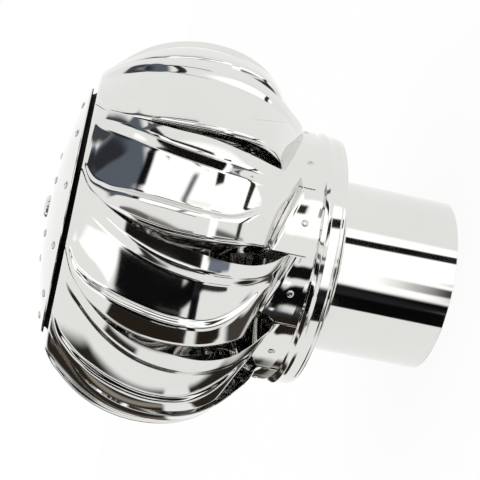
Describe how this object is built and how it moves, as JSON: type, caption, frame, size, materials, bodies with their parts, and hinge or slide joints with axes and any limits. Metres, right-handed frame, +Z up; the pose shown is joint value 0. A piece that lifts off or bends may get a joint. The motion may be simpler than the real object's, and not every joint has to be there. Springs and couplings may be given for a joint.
{
  "type": "roof turbine ventilator",
  "caption": "Wind-driven rotor of pressed, overlapping steel blades under a domed disc, spinning on a fixed round neck that slips onto a flue or duct.",
  "frame": {"origin": "centre of the neck's lower end, on the spin axis", "axes": "+Z up along the spin axis, from the neck to the cap disc"},
  "size_m": [0.328, 0.328, 0.3419],
  "materials": {
    "blade_steel": "mirror polished stainless sheet",
    "cap_steel": "mirror polished stainless sheet",
    "ring_steel": "mirror polished stainless sheet",
    "neck_steel": "mirror polished stainless sheet",
    "rivet_steel": "bright stainless",
    "plain_steel": "mill finish",
    "turned_steel": "turned",
    "bearing_steel": "ground"
  },
  "bodies": {
    "neck": {"neck_pipe": "neck_steel", "upper_strap": "plain_steel", "lower_strap": "plain_steel", "strap_rivets": "rivet_steel", "axle": "turned_steel", "axle_washers": "turned_steel", "axle_nuts": "turned_steel", "upper_inner_race": "bearing_steel", "lower_inner_race": "bearing_steel", "race_spacer": "turned_steel", "axle_circlip": "turned_steel"},
    "rotor": {"bearing_hub": "plain_steel", "blade_01": "blade_steel", "blade_02": "blade_steel", "blade_03": "blade_steel", "blade_04": "blade_steel", "blade_05": "blade_steel", "blade_06": "blade_steel", "blade_07": "blade_steel", "blade_08": "blade_steel", "blade_09": "blade_steel", "blade_10": "blade_steel", "blade_11": "blade_steel", "blade_12": "blade_steel", "cap_disc": "cap_steel", "cap_rivets": "rivet_steel", "hub_cap": "cap_steel", "hub_circlip": "turned_steel", "hub_rivets": "rivet_steel", "lower_outer_race": "bearing_steel", "lower_ring": "ring_steel", "ring_rivets": "rivet_steel", "upper_outer_race": "bearing_steel"}
  },
  "joints": [
    {"name": "rotor_spin", "type": "hinge", "parent": "neck", "child": "rotor", "pos_m": [0, 0, 0.29], "axis": [0, 0, 1], "continuous": true}
  ]
}
